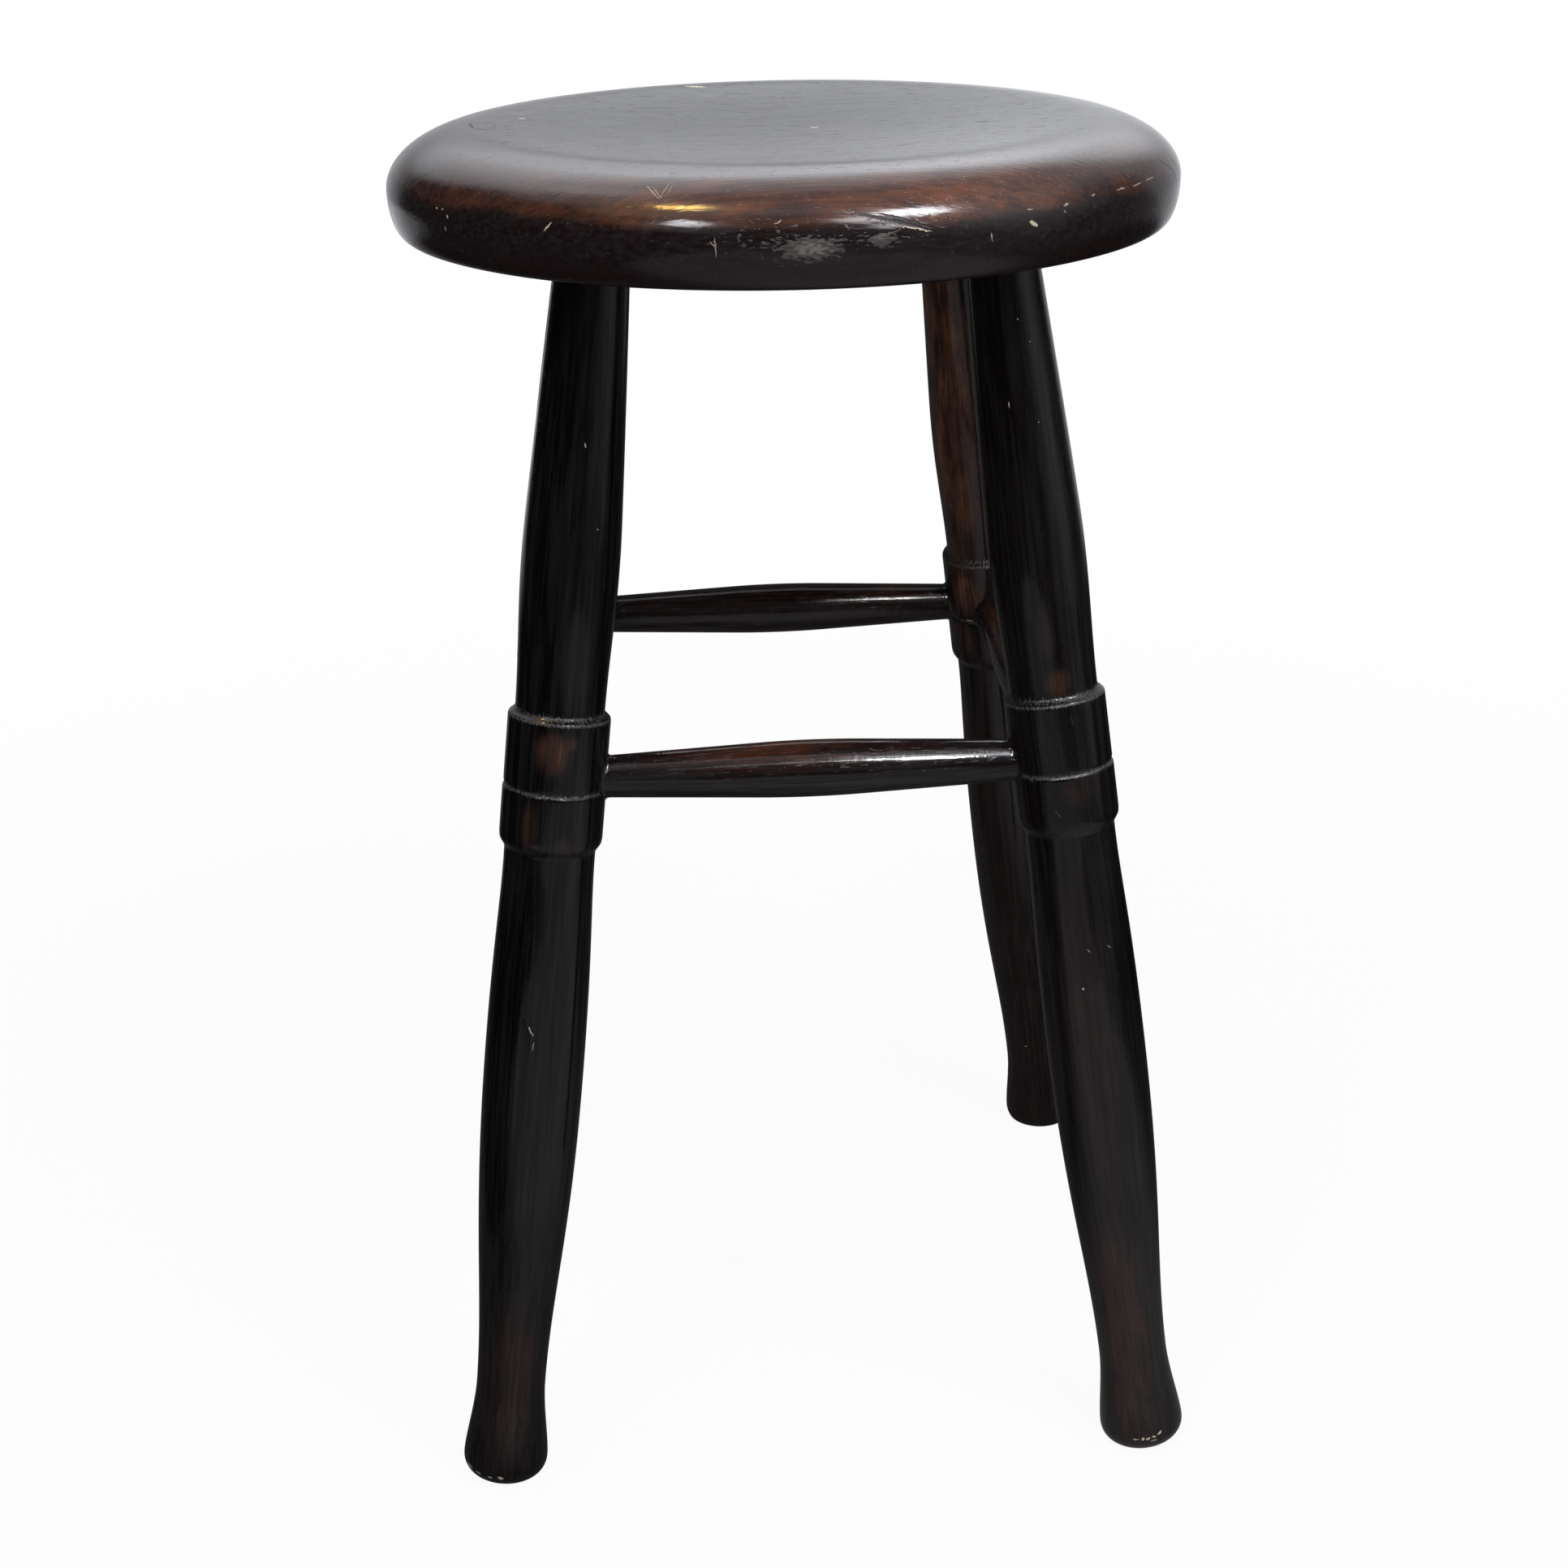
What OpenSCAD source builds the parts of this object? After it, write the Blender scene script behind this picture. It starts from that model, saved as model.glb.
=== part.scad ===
// Turned wooden stool with a dished round seat, four splayed legs and four stretchers.
// Millimetres, +Z up. The origin is on the floor, midway between the four feet.
// The front is towards -Y, and the legs stand on the diagonals.

/* [Stool] */
// Height from the floor to the crest of the seat
stool_height = 607; // [560:1:680]
// Lean of each leg away from upright, along its diagonal
leg_splay = 9.75; // [7:0.05:12]

/* [Seat] */
// Diameter of the seat at its widest line
seat_diameter = 355.6; // [320:0.1:400]
// Thickness of the seat from its flat underside to the crest
seat_thickness = 43.5; // [38:0.5:52]
// Width of the rounded rim, from the widest line in to the crest
rim_width = 42; // [25:1:45]
// Height of the rounded rim, from the widest line up to the crest
rim_height = 25; // [18:0.5:30]
// Width of the tighter rounding below the widest line
underside_round = 6.5; // [3:0.5:12]
// Depth of the dish at the centre, below the crest
dish_depth = 5; // [3:0.5:12]

/* [Leg sockets] */
// Diameter of the circle that the leg sockets are bored on, at the underside
socket_circle = 244; // [225:1:260]
// Diameter of the round tenon on top of each leg
leg_tenon_diameter = 25.4; // [20:0.1:27]
// Length of that tenon inside the seat
leg_tenon_length = 27; // [20:0.5:30]

/* [Leg turning] */
// Diameter of the leg where it meets the seat
neck_diameter = 31.6; // [28.5:0.1:34]
// Diameter of the swelling between the seat and the collar
upper_swell_diameter = 42.8; // [40:0.1:46]
// Height of that swelling above the top of the collar
upper_swell_rise = 64; // [50:1:80]
// Diameter of the leg just above the collar
upper_waist_diameter = 39.5; // [36:0.1:40]
// Diameter of the leg just below the collar
lower_waist_diameter = 40.6; // [37:0.1:41]
// Diameter of the long swelling below the collar
lower_swell_diameter = 45.4; // [42:0.1:50]
// Distance of that swelling from the floor, along the leg
lower_swell_height = 203; // [180:1:220]
// Diameter of the slim ankle above the foot
ankle_diameter = 32.2; // [28:0.1:36]
// Distance of the ankle from the floor, along the leg
ankle_height = 45.5; // [38:0.5:60]
// Diameter of the foot at its widest
foot_diameter = 39.6; // [36:0.1:46]
// Distance of the foot's widest line from the floor, along the leg
foot_height = 7; // [5:0.5:10]
// Radius of the rounding below the foot's widest line
foot_round = 10; // [8:0.5:12]

/* [Collar] */
// Diameter of the collar's upper band
collar_diameter = 45.4; // [43:0.1:50]
// Amount by which the lower band stands out beyond the upper one
band_step = 0.3; // [0.2:0.1:1]
// Height of the collar's top shoulder above the middle of the stretchers
collar_above = 30.8; // [22:0.2:36]
// Length of the collar below the middle of the stretchers
collar_below = 26.4; // [20:0.2:34]
// Distance of the turned groove below the middle of the stretchers
groove_drop = 2.5; // [0:0.5:8]
// Width of that groove
groove_width = 2.2; // [1.5:0.1:3]
// Depth of that groove below the upper band
groove_depth = 0.9; // [0.5:0.1:1.5]
// Radius of the collar's top edge
collar_round = 1.5; // [1:0.1:2.5]
// Length of the bevel under the collar
collar_bevel = 5; // [3:0.5:8]

/* [Stretchers] */
// Height of the stretchers' middle line above the floor
stretcher_height = 338; // [310:1:360]
// Diameter of a stretcher's ends and tenons
stretcher_end_diameter = 19; // [15:0.1:19.5]
// Diameter of a stretcher at its middle
stretcher_middle_diameter = 25.7; // [22:0.1:30]
// Length of the rounded crown in the middle, between the two straight tapers
stretcher_crown = 48; // [30:1:80]
// Clear length of plain end between the collar and the start of the taper
stretcher_plain_end = 1.5; // [0.5:0.5:5]

/* [Fits] */
// Gap all round a tenon in its socket, filled by glue
fit_gap = 0.1; // [0.05:0.05:0.3]
// Gap between the end of a tenon and the floor of its socket
glue_pocket = 1; // [0.5:0.5:2]
// Least wood left between two sockets that meet in one leg
socket_web = 2; // [1.5:0.5:3]
// Bevel on the tip of each tenon
tenon_bevel = 1; // [0.5:0.5:2]

/* [Hidden] */
wood_dark = "#2b1611";
wood_brown = "#3a2018";
seat_facets = 96;
leg_facets = 48;
stretcher_facets = 36;
// Points along each curve of a turned outline
curve_steps = 10;
rim_steps = 16;
crest_steps = 3;
dish_steps = 12;
foot_steps = 8;
shoulder_steps = 4;
crown_steps = 6;
// How far a turned sweep holds its width on leaving each of these places
foot_hold = 8;
ankle_hold_below = 14;
ankle_hold_above = 46;
lower_swell_hold_below = 80;
lower_swell_hold_above = 60;
lower_waist_hold = 24;
upper_waist_hold = 22;
upper_swell_hold_below = 21;
upper_swell_hold_above = 16;
// How far a cutting tool runs past the surface that it cuts
overrun = 5;

// The seat
seat_radius = seat_diameter / 2;
underside_z = stool_height - seat_thickness;
crest_radius = seat_radius - rim_width;
widest_z = stool_height - rim_height;
// The crest has the same bend as the rim's ellipse has there, so the two run on smoothly
crest_round = rim_width * rim_width / rim_height;
dish_round = (crest_radius * crest_radius + dish_depth * dish_depth) / (2 * dish_depth) - crest_round;
// Angle from the vertical of the line on which the crest's arc meets the dish's arc
dish_angle = asin(crest_radius / (dish_round + crest_round));

// The legs' centre lines
socket_radius = socket_circle / 2;
function axis_radius(z) = socket_radius + (underside_z - z) * tan(leg_splay);
floor_radius = axis_radius(0);
// Distance along a leg's centre line of the point at height z
function along_leg(z) = z / cos(leg_splay);
neck_s = along_leg(underside_z);
stretcher_s = along_leg(stretcher_height);
collar_top_s = stretcher_s + collar_above;
collar_low_s = stretcher_s - collar_below;
groove_s = stretcher_s - groove_drop;
collar_radius = collar_diameter / 2;
low_band_radius = collar_radius + band_step;

// The stretchers, measured from their middle
stretcher_span = axis_radius(stretcher_height) * sqrt(2);
end_radius = stretcher_end_diameter / 2;
middle_radius = stretcher_middle_diameter / 2;
taper_start = stretcher_span / 2 - low_band_radius - stretcher_plain_end;
taper_slope = (middle_radius - end_radius) / (taper_start - stretcher_crown / 4);
// Both sockets of one leg stop here, so that neither breaks into the other
socket_stop = end_radius + fit_gap + socket_web / sqrt(2);
tenon_stop = socket_stop + glue_pocket;

// Points of a smooth curve from a to d that leaves a towards b and comes into d from c
function curve(a, b, c, d) = [
  for (i = [1 : curve_steps])
    let (t = i / curve_steps, u = 1 - t)
      u * u * u * a + 3 * u * u * t * b + 3 * u * t * t * c + t * t * t * d
];

// A turned sweep from one width to the next: both ends run parallel to the axis,
// and each holds its width for a while
function sweep(from, to, hold_from, hold_to) =
  curve(from, from + [0, hold_from], to - [0, hold_to], to);

// Points of an elliptical arc about a centre, from one angle to another. Like the curves
// above, it leaves out its first point, which the line before it has already reached.
function arc(centre, radii, from, to, steps) = [
  for (i = [1 : steps])
    let (a = from + (to - from) * i / steps)
      centre + [radii[0] * cos(a), radii[1] * sin(a)]
];

// Seat

module seat_turning() {
  dish_centre = [0, stool_height - dish_depth + dish_round];
  crest_centre = [crest_radius, stool_height - crest_round];
  rim_centre = [crest_radius, widest_z];
  lower_centre = [seat_radius - underside_round, widest_z];
  profile = concat(
    [[0, underside_z], [lower_centre[0], underside_z]],
    arc(lower_centre, [underside_round, widest_z - underside_z], -90, 0, curve_steps),
    arc(rim_centre, [rim_width, rim_height], 0, 90, rim_steps),
    arc(crest_centre, [crest_round, crest_round], 90, 90 + dish_angle, crest_steps),
    arc(dish_centre, [dish_round, dish_round], dish_angle - 90, -90, dish_steps)
  );
  rotate_extrude($fn = seat_facets) polygon(profile);
}

// The hole for one leg's tenon, from below the underside up to its blind end
module leg_socket() {
  depth = leg_tenon_length + glue_pocket;
  translate([0, 0, neck_s - 2 * overrun])
    cylinder(r = leg_tenon_diameter / 2 + fit_gap, h = depth + 2 * overrun, $fn = leg_facets);
}

module seat() {
  color(wood_brown)
  difference() {
    seat_turning();
    for (quarter = [0 : 3]) on_leg_axis(quarter) leg_socket();
  }
}

// Legs

// Puts a shape that stands along +Z on the centre line of one leg.
// Quarter 0 is the back right leg, and the others follow anticlockwise from above.
module on_leg_axis(quarter) {
  rotate([0, 0, 45 + 90 * quarter])
    translate([floor_radius, 0, 0])
      rotate([0, -leg_splay, 0])
        children();
}

// The foot and the lower leg, from the sole up to the collar's bevel
function lower_leg() =
  let (
    foot = [foot_diameter / 2, foot_height],
    ankle = [ankle_diameter / 2, ankle_height],
    swell = [lower_swell_diameter / 2, lower_swell_height],
    waist = [lower_waist_diameter / 2, collar_low_s - 2 * collar_bevel]
  )
  concat(
    [[0, foot_height - foot_round], foot - [foot_round, foot_round]],
    arc(foot - [foot_round, 0], [foot_round, foot_round], -90, 0, foot_steps),
    sweep(foot, ankle, foot_hold, ankle_hold_below),
    sweep(ankle, swell, ankle_hold_above, lower_swell_hold_below),
    sweep(swell, waist, lower_swell_hold_above, lower_waist_hold),
    [[waist[0], collar_low_s - collar_bevel]]
  );

// The collar: a bevel, the lower band, the groove, the upper band and a rounded shoulder
function collar() =
  let (shoulder = [collar_radius - collar_round, collar_top_s - collar_round])
  concat(
    [
      [low_band_radius - band_step, collar_low_s - collar_bevel / 4],
      [low_band_radius, collar_low_s + collar_bevel / 4],
      [low_band_radius, groove_s - groove_width / 2],
      [collar_radius - groove_depth, groove_s],
      [collar_radius, groove_s + groove_width / 2],
      [collar_radius, shoulder[1]]
    ],
    arc(shoulder, [collar_round, collar_round], 0, 90, shoulder_steps)
  );

// The upper leg, from the collar to just above the underside of the seat,
// where the underside's plane trims it
function upper_leg() =
  let (
    waist = [upper_waist_diameter / 2, collar_top_s + collar_round],
    swell = [upper_swell_diameter / 2, collar_top_s + upper_swell_rise],
    bend = swell + [0, upper_swell_hold_above],
    neck = [neck_diameter / 2, neck_s],
    trim = 2 * overrun * (neck - bend) / norm(neck - bend)
  )
  concat(
    [waist],
    sweep(waist, swell, upper_waist_hold, upper_swell_hold_below),
    curve(swell, bend, bend, neck),
    [neck + trim, [0, neck_s + trim[1]]]
  );

module turned_leg() {
  rotate_extrude($fn = leg_facets) polygon(concat(lower_leg(), collar(), upper_leg()));
}

// The round tenon with its bevelled tip, which starts well inside the neck
module leg_tenon() {
  r = leg_tenon_diameter / 2;
  top = neck_s + leg_tenon_length;
  rotate_extrude($fn = leg_facets)
    polygon([
      [0, neck_s - 4 * overrun],
      [r, neck_s - 4 * overrun],
      [r, top - tenon_bevel],
      [r - tenon_bevel, top],
      [0, top]
    ]);
}

// The two blind sockets for the stretchers that meet in this leg
module stretcher_sockets() {
  reach = low_band_radius + overrun - socket_stop;
  corner = stretcher_span / 2;
  translate([corner, corner, stretcher_height])
    for (turn = [0, 90])
      rotate([turn, turn - 90, 0])
        translate([0, 0, socket_stop])
          cylinder(r = end_radius + fit_gap, h = reach, $fn = stretcher_facets);
}

module leg(quarter) {
  slab = 2 * stool_height;
  color(wood_dark)
  difference() {
    union() {
      difference() {
        on_leg_axis(quarter) turned_leg();
        translate([-slab / 2, -slab / 2, underside_z]) cube([slab, slab, 4 * overrun]);
      }
      on_leg_axis(quarter) leg_tenon();
    }
    rotate([0, 0, 90 * quarter]) stretcher_sockets();
    translate([-slab / 2, -slab / 2, -4 * overrun]) cube([slab, slab, 4 * overrun]);
  }
}

module leg_back_right() { leg(0); }
module leg_back_left() { leg(1); }
module leg_front_left() { leg(2); }
module leg_front_right() { leg(3); }

// Stretchers

// Half of a stretcher's outline, from the tip of its tenon to just short of its middle
function half_stretcher() =
  let (
    tip = stretcher_span / 2 - tenon_stop,
    half_crown = stretcher_crown / 2
  )
  concat(
    [
      [0, tip],
      [end_radius - tenon_bevel, tip],
      [end_radius, tip - tenon_bevel],
      [end_radius, taper_start]
    ],
    [
      for (i = [0 : crown_steps - 1])
        let (x = half_crown * (1 - i / crown_steps))
          [middle_radius - taper_slope * x * x / (2 * half_crown), x]
    ]
  );

module stretcher(quarter) {
  half = half_stretcher();
  last = len(half) - 1;
  other_half = [for (i = [last : -1 : 0]) [half[i][0], -half[i][1]]];
  color(wood_dark)
  rotate([0, 0, 90 * quarter])
    translate([stretcher_span / 2, 0, stretcher_height])
      rotate([90, 0, 0])
        rotate_extrude($fn = stretcher_facets)
          polygon(concat(half, [[middle_radius, 0]], other_half));
}

module stretcher_right() { stretcher(0); }
module stretcher_back() { stretcher(1); }
module stretcher_left() { stretcher(2); }
module stretcher_front() { stretcher(3); }

seat();
leg_front_left();
leg_front_right();
leg_back_right();
leg_back_left();
stretcher_front();
stretcher_right();
stretcher_back();
stretcher_left();
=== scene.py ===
import math

import bpy
import numpy as np
from mathutils import Matrix, Vector


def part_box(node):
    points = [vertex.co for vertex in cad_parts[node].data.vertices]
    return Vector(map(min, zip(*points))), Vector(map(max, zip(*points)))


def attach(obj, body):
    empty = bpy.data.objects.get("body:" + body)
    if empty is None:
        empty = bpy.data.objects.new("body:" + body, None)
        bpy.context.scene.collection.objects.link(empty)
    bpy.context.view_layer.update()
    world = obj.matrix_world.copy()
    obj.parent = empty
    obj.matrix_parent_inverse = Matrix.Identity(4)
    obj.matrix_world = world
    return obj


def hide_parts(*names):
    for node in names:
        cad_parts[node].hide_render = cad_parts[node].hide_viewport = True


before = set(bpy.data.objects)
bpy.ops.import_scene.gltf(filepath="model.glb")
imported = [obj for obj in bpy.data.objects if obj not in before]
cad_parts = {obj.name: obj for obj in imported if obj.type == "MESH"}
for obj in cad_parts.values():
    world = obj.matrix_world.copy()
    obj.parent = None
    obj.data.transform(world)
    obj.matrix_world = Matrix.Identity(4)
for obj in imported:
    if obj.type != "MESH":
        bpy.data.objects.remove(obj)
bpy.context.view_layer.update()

# The legs.
# Four pieces of straight-grained beech, turned on a lathe, stained nearly black and lacquered. Each
# runs from a foot cut level, up a long swelling and a collar of two bands, to a round tenon that is
# glued into the seat. Sizes are in millimetres, as in the part's own source. The tenon is hidden, so the
# mesh stops at the underside of the seat.
MM = 0.001
seat_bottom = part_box("seat")[0].z / MM
leg_splay = math.radians(9.75)
socket_radius = 122
leg_names = ["leg_back_right", "leg_back_left", "leg_front_left", "leg_front_right"]
stretcher_z = 338
foot_height, foot_round, foot_radius = 7, 10, 19.8
ankle_s, ankle_radius = 45.5, 16.1
lower_swell_s, lower_swell_radius = 203, 22.7
lower_waist_radius, upper_waist_radius = 20.3, 19.75
upper_swell_rise, upper_swell_radius = 64, 21.4
neck_bend, neck_radius = 16, 15.8
above_neck, above_neck_radius = 10, 14.9
collar_above, collar_below, collar_bevel, collar_round = 30.8, 26.4, 5, 1.5
band_radius, low_band_radius = 22.7, 23
groove_drop, groove_width, groove_depth = 2.5, 2.2, 0.9

floor_radius = socket_radius + seat_bottom * math.tan(leg_splay)
neck_s = seat_bottom / math.cos(leg_splay)
stretcher_s = stretcher_z / math.cos(leg_splay)
collar_top_s = stretcher_s + collar_above
collar_low_s = stretcher_s - collar_below
groove_s = stretcher_s - groove_drop


def sweep(start, end, hold_start, hold_end, steps=30):
    """Points (distance, radius) of a turned sweep. It leaves and arrives parallel to the axis, and the
    holds say for how long it keeps so."""
    a, d = np.array(start, float), np.array(end, float)
    b, c = a + [hold_start, 0], d - [hold_end, 0]
    t = np.linspace(0, 1, steps)[:, None]
    return a * (1 - t) ** 3 + 3 * b * t * (1 - t) ** 2 + 3 * c * t * t * (1 - t) + d * t**3


def leg_outline():
    """(distance along the leg, radius) from below the sole to above the neck."""
    turn = np.radians(np.linspace(-90, 0, 16))[:, None]
    middle = [foot_height, foot_radius - foot_round]
    foot = middle + foot_round * np.hstack([np.sin(turn), np.cos(turn)])
    foot_top = [foot_height, foot_radius]
    ankle = [ankle_s, ankle_radius]
    lower_swell = [lower_swell_s, lower_swell_radius]
    lower_waist = [collar_low_s - 2 * collar_bevel, lower_waist_radius]
    upper_waist = [collar_top_s + collar_round, upper_waist_radius]
    upper_swell = [collar_top_s + upper_swell_rise, upper_swell_radius]
    bend = [upper_swell[0] + neck_bend, upper_swell[1]]
    t = np.linspace(0, 1, 30)[:, None]
    neck_curve = (
        np.array(upper_swell) * (1 - t) ** 3
        + 3 * np.array(bend) * t * (1 - t)
        + np.array([neck_s, neck_radius]) * t**3
    )
    return np.vstack([
        foot,
        sweep(foot_top, ankle, hold_start=8, hold_end=14),
        sweep(ankle, lower_swell, hold_start=46, hold_end=80),
        sweep(lower_swell, lower_waist, hold_start=60, hold_end=24),
        [[collar_low_s - collar_bevel, lower_waist_radius]],
        [[collar_low_s - collar_bevel / 4, band_radius]],
        [[collar_low_s + collar_bevel / 4, low_band_radius]],
        [[groove_s - groove_width / 2, low_band_radius]],
        [[groove_s, band_radius - groove_depth]],
        [[groove_s + groove_width / 2, band_radius]],
        [[collar_top_s - collar_round, band_radius], [collar_top_s - 0.4, band_radius - 0.5]],
        [[collar_top_s, band_radius - collar_round]],
        sweep(upper_waist, upper_swell, hold_start=22, hold_end=21),
        neck_curve,
        [[neck_s + above_neck, above_neck_radius]],
    ])


def softened(outline, spread):
    """The outline as even steps, its corners rounded as coats of lacquer round them."""
    step = 0.2
    along = np.arange(outline[0, 0], outline[-1, 0], step)
    radius = np.interp(along, outline[:, 0], outline[:, 1])
    reach = int(4 * spread / step)
    kernel = np.exp(-0.5 * (np.arange(-reach, reach + 1) * step / spread) ** 2)
    padded = np.pad(radius, reach, mode="edge")
    return along, np.convolve(padded, kernel / kernel.sum(), mode="valid")


leg_along, leg_radii = softened(leg_outline(), spread=0.45)


def leg_radius(s):
    return np.interp(s, leg_along, leg_radii)


def leg_frame(quarter):
    """Where a leg's centre line meets the floor, and its own three directions."""
    a = math.radians(45 + 90 * quarter)
    out = np.array([math.cos(a), math.sin(a), 0])
    across = np.array([-math.sin(a), math.cos(a), 0])
    up = np.array([0, 0, 1])
    lean, rise = math.sin(leg_splay), math.cos(leg_splay)
    return floor_radius * out, rise * out + lean * up, across, rise * up - lean * out


def ripple(seed, *coordinates):
    """Slow unevenness between about -1 and 1, the same on every run."""
    draw = np.random.default_rng(seed)
    total = 0
    for _ in range(7):
        phase = draw.uniform(0, 2 * math.pi)
        for value, (least, most) in coordinates:
            phase = phase + value * draw.uniform(least, most) * draw.choice([-1, 1])
        total = total + np.sin(phase)
    return total / 3.5


def mesh_from_rings(name, rings, layers):
    """A closed piece from rings of points, in millimetres, with one value per point in each layer."""
    count, columns = rings.shape[:2]
    ends = [rings[0].mean(0), rings[-1].mean(0)]
    points = np.vstack([rings.reshape(-1, 3), ends]) * MM
    i, j = np.meshgrid(np.arange(count - 1), np.arange(columns), indexing="ij")
    k = (j + 1) % columns
    quads = np.stack([i * columns + j, i * columns + k, (i + 1) * columns + k, (i + 1) * columns + j], -1)
    j, k = np.arange(columns), (np.arange(columns) + 1) % columns
    first, last = count * columns, count * columns + 1
    low = np.stack([k, j, np.full(columns, first)], -1)
    top = (count - 1) * columns
    high = np.stack([top + j, top + k, np.full(columns, last)], -1)
    mesh = bpy.data.meshes.new(name)
    mesh.from_pydata(points.tolist(), [], quads.reshape(-1, 4).tolist() + low.tolist() + high.tolist())
    mesh.shade_smooth()
    mesh.set_sharp_from_angle(angle=math.radians(50))
    for layer, values in layers.items():
        kind = "FLOAT_VECTOR" if values.ndim == 3 else "FLOAT"
        flat = values.reshape(count * columns, -1)
        flat = np.vstack([flat, flat[:columns].mean(0), flat[-columns:].mean(0)])
        field = "vector" if values.ndim == 3 else "value"
        attribute = mesh.attributes.new(layer, kind, "POINT")
        attribute.data.foreach_set(field, flat.astype(np.float32).ravel())
    piece = bpy.data.objects.new(name, mesh)
    bpy.context.scene.collection.objects.link(piece)
    return piece


def leg_stations():
    """Distances along the leg of its rings, close together where an edge is turned."""
    edges = [collar_low_s - collar_bevel, collar_low_s, groove_s, collar_top_s]
    fine = np.concatenate([np.arange(edge - 3, edge + 3, 0.35) for edge in edges])
    foot = np.arange(0, 30, 0.8)
    plain = np.arange(30, neck_s, 1.4)
    near = np.min(np.abs(plain[:, None] - np.array(edges)), axis=1) < 3.2
    return np.sort(np.concatenate([foot, plain[~near], fine, [neck_s]]))


def smooth(low, high, value):
    t = np.clip((value - low) / (high - low), 0, 1)
    return t * t * (3 - 2 * t)


def linear(hex_colour):
    """An sRGB hex colour as the linear values that shaders work in."""
    channels = [int(hex_colour[i : i + 2], 16) / 255 for i in (1, 3, 5)]
    return [c / 12.92 if c <= 0.04045 else ((c + 0.055) / 1.055) ** 2.4 for c in channels] + [1]


def add(tree, kind, inputs=None, **settings):
    """Adds a node with its settings. An input is a number or the output that feeds it."""
    node = tree.nodes.new(kind)
    for key, value in settings.items():
        setattr(node, key, value)
    for key, value in (inputs or {}).items():
        if isinstance(value, bpy.types.NodeSocket):
            tree.links.new(value, node.inputs[key])
        else:
            node.inputs[key].default_value = value
    return node


def streaks(tree, own, long, wide, low=0.35, high=0.65, detail=4.0):
    """Streaks of the grain, long by wide millimetres, as 0 below low to 1 above high."""
    size = (1 / long, 1 / wide, 1 / wide)
    place = add(tree, "ShaderNodeMapping", {"Vector": own, "Location": (long, 7, wide), "Scale": size})
    noise = add(tree, "ShaderNodeTexNoise", {"Vector": place.outputs[0], "Scale": 1.0, "Detail": detail})
    levels = {"Value": noise.outputs["Fac"], "From Min": low, "From Max": high}
    return add(tree, "ShaderNodeMapRange", levels).outputs["Result"]


def weighted_sum(tree, total, parts):
    """The total plus each part times its weight."""
    for part, weight in parts:
        inputs = {0: part, 1: weight, 2: total}
        total = add(tree, "ShaderNodeMath", inputs, operation="MULTIPLY_ADD").outputs[0]
    return total


mark_depth = 2.5


def flecks(tree, own, marks):
    """Long thin marks, each given by its two ends, the way its surface faces, its width and strength."""
    total = 0.0
    for start, end, facing, width, strength in marks:
        start, end, facing = Vector(start), Vector(end), Vector(facing)
        run = end - start if (end - start).length > 0.01 else facing.orthogonal() * 0.01
        across = facing.cross(run).normalized()
        turn = Matrix([run.normalized(), across, run.normalized().cross(across)]).transposed().to_euler()
        half = 1.1 * Vector((run.length / 2 + width / 2, width / 2, mark_depth))
        frame_of_mark = {"Vector": own, "Location": (start + end) / 2, "Rotation": turn, "Scale": half}
        inside = add(tree, "ShaderNodeMapping", frame_of_mark, vector_type="TEXTURE").outputs[0]
        deep = add(tree, "ShaderNodeTexGradient", {0: inside}, gradient_type="SPHERICAL").outputs["Fac"]
        edge = {"Value": deep, "From Max": 0.36, "To Max": strength}
        mark = add(tree, "ShaderNodeMapRange", edge).outputs["Result"]
        total = add(tree, "ShaderNodeMath", {0: mark, 1: total}, operation="MAXIMUM").outputs[0]
    return total


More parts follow.
